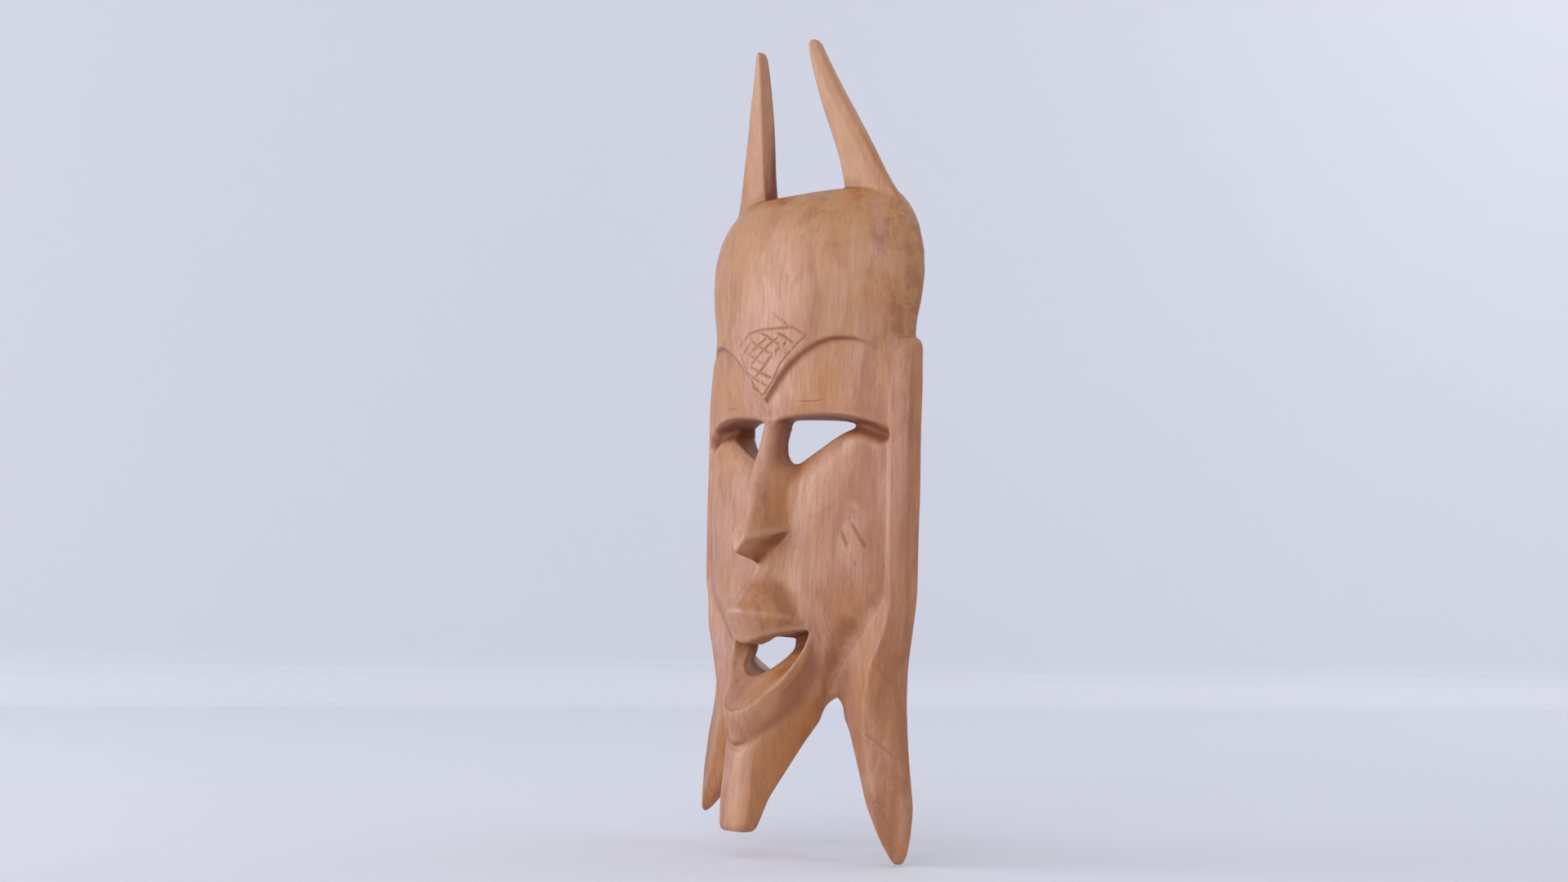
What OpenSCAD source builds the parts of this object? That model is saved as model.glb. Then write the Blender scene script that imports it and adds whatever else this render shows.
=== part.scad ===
// Carved horned wall mask: one block of wood hollowed from behind, with the
// brass ring hanger, its two screws and the four felt bumpers on its back.
// The face looks along -Y, the wall is on the +Y side and Z runs up the grain.

/* [Wood] */
// Overall height, from the lower lappet tip to the horn tips
mask_h = 448; // [400:1:500]
// Overall width across the ears
mask_w = 161; // [145:1:180]
// Depth from the flat back rim to the tip of the upper lip
mask_d = 60; // [54:1:68]
// Least thickness left behind the skull and cheeks
wall = 8; // [6:0.5:10]
// How much shorter the left lappet is than the right one
lappet_short = 15; // [0:1:30]

/* [Hanger] */
// Width of the folded strap
strap_w = 12; // [10:0.5:13]
// Length of the strap above the ring's bar
strap_l = 28; // [26:0.5:32]
// Thickness of the folded strap
strap_t = 1.6; // [1.2:0.1:2]
// Radius of the ring's wire
wire_r = 1.25; // [1:0.05:1.5]
// Radius of the ring, to the middle of its wire
ring_r = 12; // [11:0.5:13]
// Radius of a screw's shank
screw_r = 1.5; // [1.2:0.1:1.7]
// Length of a screw under its head
screw_l = 14; // [10:0.5:16]

/* [Bumpers] */
// Radius of a felt bumper
pad_r = 5; // [4:0.5:6]
// Thickness of a felt bumper, more than the hanger's so that the ring is free
pad_t = 4.8; // [4.8:0.1:6]

/* [Hidden] */

// The carving is laid out on a block of this width, depth and height, with its
// back rim at y = 0, and is then resized to the driving dimensions.
design = [161, 60, 448];
kx = mask_w / design.x;
kz = mask_h / design.z;
// The origin is under the middle of the whole part's box, so the back rim's
// plane lies this far behind it.
rim_y = (mask_d - pad_t) / 2;

// Heights on the face, at the design height
chin_z = 14;
apex_z = 86;
crown_z = 366;

// Half width of the shell, at stations up the mask
half_w = [[14, 11], [32, 15], [62, 23], [85.5, 30], [93, 32], [102, 37], [118, 50], [136, 66],
          [144, 72], [262, 74], [285, 74.8], [303, 78], [316, 79.7], [330, 78.7], [345, 74], [355, 67],
          [361, 62], [366, 55]];
// Depth of the shell on the centre line, nose and lips left out
mid_d = [[14, 59], [57, 57], [85, 52], [105, 48], [120, 44], [140, 40], [181, 38], [212, 37],
         [232, 40.5], [245, 43.5], [262, 44.5], [290, 46], [316, 46], [330, 44.5], [345, 41],
         [355, 35.5], [361, 29], [366, 20]];
// Depth of the shell at its two edges
edge_d = [[14, 56], [32, 50.5], [62, 30], [85.5, 14], [93, 12], [118, 12], [144, 14], [262, 15],
          [285, 9], [366, 9]];
// Depth of the rim that the shell stands on
rim_d = [[14, 50], [32, 44], [62, 24], [85.5, 9], [93, 0], [366, 0]];
// Fullness of the section: how flat its front is before the sides fall away
full = [[14, 4], [62, 3], [85.5, 2.2], [102, 1.9], [118, 1.8], [212, 1.8], [245, 2.1],
        [285, 2.4], [366, 2.6]];

// Hollow scooped into the back: half width at the rim, depth on the centre line
// and fullness of its section
hollow_w = [[90, 4], [97, 22], [106, 34], [120, 44], [140, 50], [165, 54], [240, 55],
            [285, 54], [300, 50], [312, 43], [320, 32], [326, 16]];
hollow_mid = [[90, 0], [97, 20], [106, 30], [120, 33], [140, 31], [212, 32], [240, 33],
              [285, 34], [300, 33], [312, 27], [320, 17], [326, 0]];
hollow_full = [[106, 3.4], [120, 3.4], [140, 2], [165, 1.4], [212, 1.2], [240, 1.2],
               [285, 1.6], [300, 1.8], [312, 2]];

function unit(t) = min(1, max(0, t));
function ease(t) = unit(t) * unit(t) * (3 - 2 * unit(t));
function ramp(a, b, v) = ease((v - a) / (b - a));

// Rounded plan section of the shell, at a share s of its half width
function shell_d(s, z) =
    lookup(z, edge_d)
    + (lookup(z, mid_d) - lookup(z, edge_d)) * pow(max(0, 1 - pow(abs(s), lookup(z, full))), 0.88);

// Lower edge of the skull: a peak on the centre line between two brow arches
function arch_z(x) = 281 - 33 * pow(unit(1 - abs(x) / 47), 1.7) - 9 * ramp(52, 78, abs(x));
function brow_cut(x, z) =
    3.3 * (1 - ramp(-2.6, 1.4, z - arch_z(x))) * ramp(225, 240, z) * (1 - 0.75 * ramp(50, 72, abs(x)));

// Lower edge of the brow, and the eye socket under it
function brow_z(x) = 239.6 - 4.1 * pow((abs(x) - 34) / 33, 2);
function socket(x, z) =
    7 * ramp(6, 14, abs(x)) * (1 - ramp(58, 70, abs(x)))
    * unit((brow_z(x) - z) / 2.8) * ramp(200, 222, z);

// Wedge nose: depth of its ridge, half width of the ridge's flat and of the wings.
// Its underside is one plane that rises to the wings.
ridge_d = [[166, 60], [183, 55.5], [197, 51], [216, 45], [233, 41], [236, 40], [240, 36]];
flat_w = [[166, 6.4], [176, 5.8], [190, 4.3], [207, 3.2], [233, 2]];
wing_w = [[158, 21], [176, 19], [190, 14.5], [207, 15.5], [226, 12], [239, 8]];
nose_tip_z = 158.5;
function nose_side(x, z) =
    let (flat = lookup(z, flat_w), out = unit((abs(x) - flat) / (lookup(z, wing_w) - flat)))
    lookup(z, ridge_d) - (lookup(z, ridge_d) - 34) * out;
function nose_d(x, z, base) =
    abs(x) > lookup(z, wing_w) || z > 241 ? base
    : max(base, min(nose_side(x, z), base + 3.4 * (z - nose_tip_z - abs(x))));

// Beak of an upper lip: depth and height of its crest and height of its foot,
// by distance from the middle
beak_d = [[0, 60], [6, 59.8], [12, 57], [18, 50.5], [24, 42], [28, 34], [31, 26]];
beak_z = [[0, 132.5], [12, 130.5], [24, 129], [28, 127], [31, 125]];
beak_foot_z = [[0, 113.5], [12, 117], [18, 119.5], [24, 121]];
function upper_lip(x, z) =
    let (a = abs(x), rise = z - lookup(a, beak_z))
    a > 31 || z < lookup(a, beak_foot_z) ? 0
    : lookup(a, beak_d) - (rise > 0 ? rise * (0.82 + 0.012 * a) : -rise * (0.42 + 0.01 * a));

// U-shaped lower lip: height and depth of its crest and height of its foot, by
// distance from the middle, and the bowl that falls inside it to the open mouth
rim_crest_z = [[0, 73.5], [8, 77], [15, 84], [21.5, 92], [26.7, 103.5], [28.5, 112], [29.5, 121]];
rim_crest_d = [[0, 61], [8, 58.5], [15, 53.5], [21.5, 47.5], [26.7, 41], [28.5, 36.5], [29.5, 33]];
rim_foot_z = [[0, 60], [5, 60.5], [14, 65.5], [19.5, 72.5], [23.5, 83], [27.5, 94], [30, 105]];
function lower_lip(x, z, base) =
    let (a = abs(x), rise = z - lookup(a, rim_crest_z), up = z - lookup(a, rim_foot_z))
    a > 31 || up < 0 || z > 121 ? base
    : rise > 0 ? max(31, lookup(a, rim_crest_d) - 0.95 * rise)
    : max(base, min(lookup(a, rim_crest_d) + 0.15 * rise, base + 1.6 * up));

function carved(x, z, base) =
    let (cut = base - brow_cut(x, z) - socket(x, z))
    nose_d(x, z, max(lower_lip(x, z, cut), upper_lip(x, z)));

// One level of the shell: its carved front, then the rim and the hollow behind
front_n = 44;
hollow_n = 12;
function place(x, d, z) = [x, -d, z];
carved_wall = wall - 3;
function hollow_d(s, z) =
    let (x = s * lookup(z, hollow_w), shell = shell_d(x / lookup(z, half_w), z),
         deep = lookup(z, hollow_mid) * (1 - pow(abs(s), lookup(z, hollow_full))))
    max(lookup(z, rim_d), min(deep, shell - wall, carved(x, z, shell) - carved_wall));
function level(z) =
    let (w = lookup(z, half_w), v = lookup(z, hollow_w), r = lookup(z, rim_d))
    concat(
        [for (i = [0:front_n])
            let (s = 2 * i / front_n - 1, x = w * s)
            place(x, carved(x, z, shell_d(s, z)), z)],
        [place(w, r, z), place(v, r, z)],
        [for (i = [0:hollow_n])
            let (s = 1 - 2 * i / hollow_n)
            place(v * s * 0.98, hollow_d(s, z), z)],
        [place(-v, r, z), place(-w, r, z)]);

// Closed solid through a stack of rings that all have the same number of points
module loft(rings) {
    n = len(rings[0]);
    last = len(rings) - 1;
    sides = [for (k = [0:last - 1], i = [0:n - 1])
        let (j = (i + 1) % n)
        for (t = [[k * n + i, (k + 1) * n + i, (k + 1) * n + j],
                  [k * n + i, (k + 1) * n + j, k * n + j]]) t];
    polyhedron(
        points = [for (ring = rings, p = ring) p],
        faces = concat(sides,
                       [[for (i = [0:n - 1]) i]],
                       [[for (i = [n - 1:-1:0]) last * n + i]]));
}

module shell() {
    levels = [chin_z, 24, 34, 44, 53, each [59:4:95], each [99:3.5:134], 138, 144, 150, 156, 160,
              163, 167, 171, 175, 181, each [188:7:230], 234, 236.5, 239, each [243:5:283],
              290, 298, 306, each [312:3:330], 337, 344, 350, 356, 360, 363.5, crown_z];
    loft([for (z = levels) level(z)]);
}

// Ear strip that widens into a pointed lappet: height, inner edge, ridge and
// outer edge, and the depths there
lappet = [[0, 71, 74, 77, 5, 7, 4], [4, 66, 72, 78.5, 6.5, 9, 4], [13, 60.5, 70, 79.5, 7.5, 10.5, 4.5],
          [31, 52, 64, 80.4, 9.5, 13, 5], [57, 44.5, 58, 76.6, 11.5, 16, 5.5],
          [70, 40.5, 57, 75, 12, 17.5, 6], [86, 29, 58.5, 73.8, 12.5, 18.5, 6.5],
          [105, 35, 64, 74.5, 15, 19.5, 7], [123, 53, 72, 77, 16, 18, 8.5],
          [140, 69, 75.5, 79.3, 16, 16.5, 10.5], [150, 71.5, 74.5, 79.8, 16.5, 17.5, 11],
          [250, 71.5, 74, 80.5, 17.5, 18.5, 11.5], [272, 72, 74.5, 80.2, 15.5, 16, 10.5],
          [281, 73.5, 76, 79, 9, 10, 7]];
function lappet_z(z, short) = z > apex_z ? z : apex_z - (apex_z - z) * (1 - short / apex_z);
function lappet_ring(row, short) =
    let (z = lappet_z(row[0], short))
    [place(row[1], 0, z), place(row[1], row[4] - 2, z), place(row[1] + 1, row[4], z),
     place(row[2], row[5], z), place(row[3] - 1, row[6] + 2, z), place(row[3], row[6], z),
     place(row[3], 0, z)];
module lappet_strip(short) {
    loft([for (row = lappet) lappet_ring(row, short)]);
}

// Horn: height, inner and outer edge, and the depth of its front and its back
horn = [[350, 34, 68, 14, 2], [366, 31.6, 61.5, 16.5, 6], [382, 30.6, 53.5, 20, 9],
        [397, 27, 46, 24, 13.5], [413, 23.5, 38.7, 28.5, 18.5], [428, 20.8, 31.8, 33, 23.5],
        [441, 19, 26, 36, 28.5], [448, 20.5, 23.5, 36, 31.5]];
function horn_ring(row) =
    let (z = row[0], a = row[1], b = row[2], f = row[3], c = row[4])
    [place(a, c + 1.2, z), place(a, f - 1.2, z), place(a + 1.2, f, z), place(b - 1.2, f - 1, z),
     place(b, f - 2.6, z), place(b, c + 1.2, z), place(b - 1.2, c, z), place(a + 1.2, c, z)];
module horn_blade() {
    loft([for (row = horn) horn_ring(row)]);
}

// Opening cut straight through the shell from an outline in front view
module through(outline) {
    rotate([90, 0, 0])
        linear_extrude(height = 3 * design.y, center = true)
            polygon(outline);
}
eye = [[7.5, 237], [7, 229], [7, 219], [8, 214.5], [11, 213], [19, 216.5], [28, 221], [37, 226],
       [44, 230], [49, 233.5], [46.5, 236], [34, 237.2], [18, 237.4]];
mouth = [[-21, 119], [-20, 113], [-15.5, 102], [-6, 97], [3, 98.5], [12.5, 106], [14.5, 112],
         [15.5, 119]];

// Hanger on the back of the crown: heights of the ring's bar and of the screws
bar_z = 336 * kz;
screw_gap = 13;
screw_zs = [bar_z + 6.5, bar_z + 6.5 + screw_gap];
knuckle_gap = 0.08;
knuckle_t = 0.8;
knuckle_r = wire_r + knuckle_gap + knuckle_t;
head_r = 3;
head_h = 1.2;

module along_y(y) {
    translate([0, y, 0])
        rotate([-90, 0, 0]) children();
}

module mask_body() {
    color([0.62, 0.38, 0.24])
        translate([0, rim_y, 0])
            resize([mask_w, mask_d, mask_h])
                difference() {
                    union() {
                        shell();
                        lappet_strip(0);
                        mirror([1, 0, 0]) lappet_strip(lappet_short);
                        horn_blade();
                        mirror([1, 0, 0]) horn_blade();
                    }
                    through(eye);
                    mirror([1, 0, 0]) through(eye);
                    through(mouth);
                    for (z = screw_zs)
                        translate([0, 0, z / kz])
                            along_y(-screw_l) cylinder(h = screw_l + 1, r = screw_r, $fn = 16);
                }
}

module hanger_strap() {
    color([0.72, 0.58, 0.32])
        difference() {
            union() {
                translate([-strap_w / 2, rim_y, bar_z])
                    cube([strap_w, strap_t, strap_l - strap_w / 2]);
                translate([0, 0, bar_z + strap_l - strap_w / 2])
                    along_y(rim_y) cylinder(h = strap_t, r = strap_w / 2, $fn = 48);
                translate([-strap_w / 2, rim_y + knuckle_r, bar_z])
                    rotate([0, 90, 0]) cylinder(h = strap_w, r = knuckle_r, $fn = 48);
            }
            translate([-strap_w, rim_y + knuckle_r, bar_z])
                rotate([0, 90, 0]) cylinder(h = 2 * strap_w, r = wire_r + knuckle_gap, $fn = 48);
            for (z = screw_zs)
                translate([0, 0, z])
                    along_y(rim_y - 1) cylinder(h = strap_t + 2, r = screw_r + 0.2, $fn = 32);
        }
}

// D-shaped ring, hanging straight down from its bar
module hanger_ring() {
    color([0.75, 0.62, 0.36])
        translate([0, rim_y + knuckle_r, bar_z]) {
            translate([-ring_r, 0, 0])
                rotate([0, 90, 0]) cylinder(h = 2 * ring_r, r = wire_r, $fn = 32);
            for (side = [-1, 1])
                translate([side * ring_r, 0, 0]) sphere(r = wire_r, $fn = 32);
            rotate([90, 180, 0])
                rotate_extrude(angle = 180, $fn = 96)
                    translate([ring_r, 0]) circle(r = wire_r, $fn = 32);
        }
}

module screw(z) {
    color([0.66, 0.66, 0.68])
        translate([0, 0, z]) {
            along_y(rim_y - screw_l + strap_t) cylinder(h = screw_l, r = screw_r, $fn = 32);
            difference() {
                along_y(rim_y + strap_t) cylinder(h = head_h, r1 = head_r, r2 = head_r - 0.7, $fn = 48);
                translate([-head_r, rim_y + strap_t + head_h - 0.5, -0.35])
                    cube([2 * head_r, 1, 0.7]);
            }
        }
}
module screw_lower() { screw(screw_zs[0]); }
module screw_upper() { screw(screw_zs[1]); }

// Felt bumpers on the rim: beside the horns, and on the lappets
module bumper(x, z) {
    color([0.23, 0.2, 0.18])
        translate([x * kx, 0, z * kz])
            along_y(rim_y) cylinder(h = pad_t, r = pad_r, $fn = 48);
}
upper_pad = [52, 342];
lower_pad = [64, 62];
module pad_upper_left() { bumper(-upper_pad.x, upper_pad.y); }
module pad_upper_right() { bumper(upper_pad.x, upper_pad.y); }
module pad_lower_left() { bumper(-lower_pad.x, lower_pad.y); }
module pad_lower_right() { bumper(lower_pad.x, lower_pad.y); }

mask_body();
hanger_strap();
hanger_ring();
screw_upper();
screw_lower();
pad_upper_left();
pad_upper_right();
pad_lower_left();
pad_lower_right();
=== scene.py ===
"""Looks for the carved horned wall mask: the sculpted wood, the brass hanger and the studio.

The wood is one implicit solid, worked out on a grid of points, because that is how
the real one is made: a block from which everything that isn't the mask is cut away.
Inside the sculpting code lengths are millimetres: x across the face, d forward from
the flat back rim, and z up from the tip of the longer lappet.
"""
import math

import bmesh
import bpy
import numpy as np
from mathutils import Matrix, Vector


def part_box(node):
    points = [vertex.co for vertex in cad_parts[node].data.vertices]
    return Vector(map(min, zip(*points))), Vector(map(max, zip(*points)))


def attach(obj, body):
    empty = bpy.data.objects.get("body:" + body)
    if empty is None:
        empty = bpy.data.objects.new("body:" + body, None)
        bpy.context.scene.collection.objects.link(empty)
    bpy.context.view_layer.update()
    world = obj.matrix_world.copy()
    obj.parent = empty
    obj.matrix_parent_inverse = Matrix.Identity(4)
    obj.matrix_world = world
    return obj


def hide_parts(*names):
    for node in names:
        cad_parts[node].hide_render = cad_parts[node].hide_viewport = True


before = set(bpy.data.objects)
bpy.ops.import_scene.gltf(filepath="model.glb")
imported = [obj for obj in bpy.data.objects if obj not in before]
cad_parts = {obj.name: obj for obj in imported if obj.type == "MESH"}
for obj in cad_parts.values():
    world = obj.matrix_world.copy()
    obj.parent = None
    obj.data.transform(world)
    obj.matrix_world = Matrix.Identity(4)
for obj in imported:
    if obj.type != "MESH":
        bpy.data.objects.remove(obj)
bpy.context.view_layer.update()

MM = 0.001
VIEW_AZIMUTH = 47

body_low, body_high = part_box("mask_body")
RIM_Y = body_high.y / MM
TOP_Z = body_high.z / MM
VOXEL = 0.8
WOOD_TRIANGLES = 153000


# ---------------------------------------------------------------- small maths

def blur_1d(values, axis, sigma):
    """Gaussian blur along one axis; sigma is in samples."""
    reach = max(1, int(math.ceil(3 * sigma)))
    offsets = np.arange(-reach, reach + 1)
    weights = np.exp(-0.5 * (offsets / sigma) ** 2)
    weights /= weights.sum()
    padding = [(0, 0)] * values.ndim
    padding[axis] = (reach, reach)
    padded = np.pad(values, padding, mode="edge")
    size = values.shape[axis]
    out = np.zeros_like(values)
    for weight, start in zip(weights, range(2 * reach + 1)):
        cut = [slice(None)] * values.ndim
        cut[axis] = slice(start, start + size)
        out += weight * padded[tuple(cut)]
    return out


def blur_2d(values, sigma):
    """Gaussian blur of an x-z grid."""
    return blur_1d(blur_1d(values, 0, sigma), 1, sigma)


def lowest(values, reach):
    """The least value within so many samples of each place."""
    for _ in range(reach):
        for axis in (0, 1):
            padded = np.pad(values, [(1, 1) if i == axis else (0, 0) for i in (0, 1)], mode="edge")
            size = values.shape[axis]
            near = [padded.take(range(start, start + size), axis) for start in (0, 2)]
            values = np.minimum(values, np.minimum(near[0], near[1]))
    return values


def along(stations, column, z, soft=4.0):
    """A column of a station table as a smooth function of height; soft is in mm."""
    table = np.array(sorted(stations), float)
    step = 0.5
    fine = np.arange(table[0, 0] - 40, table[-1, 0] + 40, step)
    values = np.interp(fine, table[:, 0], table[:, column])
    if soft:
        values = blur_1d(values, 0, soft / step)
    return np.interp(z, fine, values)


def ramp(a, b, v):
    """0 before a, 1 after b, and a smooth step between."""
    t = np.clip((v - a) / (b - a), 0, 1)
    return t * t * (3 - 2 * t)


def smooth_min(a, b, k):
    """The lesser of two fields, blended where they are within k of each other."""
    h = np.clip(0.5 + 0.5 * (b - a) / k, 0, 1)
    return b + (a - b) * h - k * h * (1 - h)


def smooth_max(a, b, k):
    """The greater of two fields, blended in the same way."""
    return -smooth_min(-a, -b, k)


def rounded(points, passes=3):
    """A closed outline with its corners cut back evenly."""
    p = np.array(points, float)
    for _ in range(passes):
        q = np.roll(p, -1, axis=0)
        p = np.stack([0.75 * p + 0.25 * q, 0.25 * p + 0.75 * q], 1).reshape(-1, 2)
    return p


def line_distance(x, z, points, closed=False):
    """Distance from each place to a line through the points."""
    p = np.array(points, float)
    ends = np.roll(p, -1, axis=0) if closed else p[1:]
    starts = p if closed else p[:-1]
    best = np.full(np.broadcast(x, z).shape, 1e9)
    for (ax, az), (bx, bz) in zip(starts, ends):
        length = max(1e-9, (bx - ax) ** 2 + (bz - az) ** 2)
        t = np.clip(((x - ax) * (bx - ax) + (z - az) * (bz - az)) / length, 0, 1)
        best = np.minimum(best, np.hypot(x - ax - t * (bx - ax), z - az - t * (bz - az)))
    return best


def outline_distance(x, z, points):
    """Signed distance to a closed outline, negative inside."""
    inside = np.zeros(np.broadcast(x, z).shape, bool)
    p = np.array(points, float)
    for (ax, az), (bx, bz) in zip(p, np.roll(p, -1, axis=0)):
        if az == bz:
            continue
        crosses = ((az > z) != (bz > z)) & (x < (bx - ax) * (z - az) / (bz - az) + ax)
        inside ^= crosses
    distance = line_distance(x, z, p, closed=True)
    return np.where(inside, -distance, distance)


def wander(x, z, seed, pitch_x, pitch_z):
    """Slow seeded waves, between about -1 and 1, for the unevenness of hand work."""
    rng = np.random.default_rng(seed)
    total = 0.0
    for _ in range(5):
        fx, fz = rng.normal(size=2)
        total = total + np.sin(
            2 * math.pi * (fx * x / pitch_x + fz * z / pitch_z) + rng.uniform(0, 2 * math.pi)
        )
    return total / 3


# ---------------------------------------------------------------- the carving's design

# height, half width, centre depth, front edge depth, back rim depth, fullness
SHELL = [
    (14, 11.5, 59.5, 56.5, 50.5, 4.0), (32, 15, 59, 51, 44, 3.8), (62, 21.4, 56.5, 30, 24, 3.0),
    (85.5, 28.8, 52, 14, 9, 2.2), (93, 32, 50.5, 12, 0, 2.0), (102, 37, 48.5, 12, 0, 1.9),
    (118, 50, 44.5, 12, 0, 1.8), (136, 66, 40.5, 13, 0, 1.8), (144, 72, 39.5, 14, 0, 1.8),
    (181, 75, 38, 14, 0, 1.8), (212, 75, 37, 14, 0, 1.8), (232, 75, 40.5, 15, 0, 1.9),
    (245, 75, 43.5, 16, 0, 2.1), (262, 75, 44.5, 15, 0, 2.3), (285, 74.4, 46, 9, 0, 2.4),
    (292, 75.2, 46, 9, 0, 2.4), (303, 78, 46, 9, 0, 2.4), (316, 79.7, 46, 9, 0, 2.4),
    (330, 78.9, 44.5, 9, 0, 2.4), (345, 74.5, 41, 9, 0, 2.4), (355, 68, 35.5, 9, 0, 2.5),
    (361, 62, 29, 9, 0, 2.6), (366, 56, 20, 9, 0, 2.6),
]
CHIN_Z, CROWN_Z = 14, 366

# the scooped hollow behind: height, half width at the rim, depth on the centre line,
# and how round its section is
HOLLOW = [
    (90, 4, 4, 2.6), (97, 32, 24, 3.0), (106, 46, 32, 4.0), (113, 52, 33, 4.0), (122, 54, 33, 3.5),
    (140, 53, 31, 2.0), (165, 54, 31, 1.4), (212, 55, 32, 1.2), (240, 55, 33, 1.2),
    (285, 54, 34, 1.6), (300, 50, 33, 1.8), (312, 43, 27, 2), (320, 32, 17, 2), (326, 16, 5, 2),
]
THINNEST = 4.8

# height, inner edge, ridge, outer edge, and the depths there
EAR = [(150, 71.0, 72.8, 79.8, 16.5, 17.5, 12), (250, 71.0, 72.6, 80.4, 17.5, 18.5, 12.5),
       (272, 71.5, 73.4, 80.2, 15.5, 16.5, 11.5), (284, 72.0, 74.5, 80, 12, 12.5, 9.5)]
LAPPETS = {1: [
    (0, 70, 73, 77, 6, 8, 4.5), (13, 60.5, 70, 79.5, 7.5, 10.5, 4.5),
    (31, 52, 64, 80.4, 9.5, 13, 5), (57, 44.5, 58, 76.6, 11.5, 16, 5.5),
    (70, 40.5, 57, 75, 12, 17.5, 6), (86, 30, 58.5, 73.8, 12.5, 18.5, 6.5),
    (105, 36, 64, 74.5, 15, 19.5, 7), (123, 53, 72, 77, 16, 18, 8.5),
    (140, 69, 74.5, 79.3, 16, 16.5, 10.5)] + EAR, -1: [
    (0, 75, 77.5, 80, 10, 12, 10), (13, 66, 73.5, 80.4, 12, 14, 10),
    (31, 55, 66, 80.4, 13, 16.5, 9.5), (57, 45.5, 60, 78, 13, 18.5, 8.5),
    (70, 41, 58, 76, 12.5, 18.5, 7.5), (86, 30, 58.5, 74.5, 12.5, 18.5, 6.5),
    (105, 36, 63, 73.8, 15, 19, 7), (123, 53, 70, 74.5, 16, 18, 8.5),
    (140, 68, 72, 76.5, 16, 16.5, 10.5)] + EAR}
APEX_Z, EAR_TOP_Z = 86, 282
LEFT_SHORTER = 15

# height, inner edge, outer edge, front depth inside and outside, and back depth
HORN_FOOT_Z = 346
HORN = [
    (346, 36, 74, 11, 9, 1), (358, 33, 66, 14.5, 11, 3), (366, 31.6, 60.5, 17, 13.5, 6),
    (382, 30.4, 53.3, 20.5, 18.5, 9.5), (397, 27, 46, 24.5, 23, 13.5),
    (413, 23.4, 38.8, 29, 27.8, 18.5), (428, 20.8, 32, 33, 32.3, 23.5),
    (441, 19, 26.6, 36, 35.5, 28), (450, 19, 24, 37.5, 37.5, 31),
]

# outlines of the openings, the right eye's with x as it is and the left one's mirrored
EYE_INNER = [(18, 237.4), (7.5, 237), (7, 229), (7.5, 219), (9.5, 214), (13, 212.8), (20, 216.5)]
EYES = {1: EYE_INNER + [(28, 221), (37, 226.5), (42, 229.5), (46, 233), (44, 236), (34, 237.2)],
        -1: EYE_INNER + [(27, 219.5), (36, 224.5), (46, 230), (52, 233.5), (49, 236), (34, 237.2)]}
MOUTH = [(-22, 121), (-20.5, 113), (-15.5, 102), (-6, 97), (3, 98), (12.5, 106.5), (15, 113),
         (15.5, 121)]
# the round end of the gap on each side of the chin: distance from the middle, height, radius
GAP_END = (30.8, 79.6, 5.2)

# outline of the hatched patch on the brow
PATCH = [(-22, 277), (-11, 285), (0, 286.5), (23, 286.5), (31, 281.5), (24.5, 276.5),
         (13, 266.5), (7.5, 258), (0, 250.5), (-12, 255.5), (-13.5, 264), (-18.5, 272.5)]
# knife cuts: the line, its half width and its depth
CUTS = [
    (PATCH + PATCH[:1], 0.8, 0.60),
    ([(10.5, 284.5), (17, 282), (24.5, 277)], 0.9, 0.75),
    ([(-3, 286), (3.5, 283), (15, 276.5)], 0.8, 0.65),
    ([(-11, 282), (-3.5, 278), (8.5, 272)], 0.8, 0.65),
    ([(-15, 275.5), (-6.5, 271), (2, 266.5)], 0.8, 0.60),
    ([(-14.5, 269), (-3.5, 263.5), (8.5, 259)], 0.9, 0.75),
    ([(-13, 263.5), (-7, 260), (4, 255)], 0.8, 0.60),
    ([(-18.5, 272.5), (-10, 280)], 0.8, 0.65),
    ([(-11, 273.5), (-3.5, 278), (4.5, 282)], 0.8, 0.60),
    ([(-10.5, 267), (-3, 272.5), (5.5, 278), (13.5, 282)], 0.8, 0.65),
    ([(-7, 260), (2, 267), (8, 272.5), (15, 276.5), (20, 279.5)], 0.9, 0.75),
    ([(18, 271), (12.5, 266), (10.5, 263)], 0.7, 0.50),
    ([(-12, 254.5), (-10, 251), (-9.5, 248)], 0.7, 0.50),
    ([(7, 296), (22.5, 286)], 0.7, 0.45),
    ([(48, 178), (50, 172), (52.5, 166.5)], 1.5, 1.0),
    ([(54.5, 162), (57.5, 156.5)], 1.2, 0.7),
    ([(53, 182), (57, 175), (62.5, 165.5)], 1.5, 0.95),
    ([(23, 246.4), (31, 246.2), (38, 246.8)], 0.7, 0.5),
    ([(-43, 245.4), (-36, 244.8), (-29, 245)], 0.7, 0.5),
    ([(65, 106), (70.5, 95), (74, 88)], 1.3, 0.6),
    ([(57, 70), (66, 62), (75.5, 54)], 1.3, 0.6),
    ([(61, 34), (73, 28)], 1.0, 0.22),
]


def arch_z(x):
    """Lower edge of the skull: a peak between the two brow arches."""
    peak = np.clip(1 - np.abs(x) / 47, 0, 1)
    return 281 - 33 * peak ** 1.7 - 9 * ramp(52, 78, np.abs(x))


def brow_z(x):
    """Lower edge of the overhanging brow."""
    return 239.6 - 4.1 * ((np.abs(x) - 34) / 33) ** 2


def shell_front(x, z):
    """Depth of the rounded shell before the features are cut."""
    w = along(SHELL, 1, z, 3)
    centre = along(SHELL, 2, z, 3)
    edge = along(SHELL, 3, z, 3)
    fullness = along(SHELL, 5, z)
    share = np.clip(np.abs(x) / w, 0, 1)
    return edge + (centre - edge) * (1 - share ** fullness) ** 0.88


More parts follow.
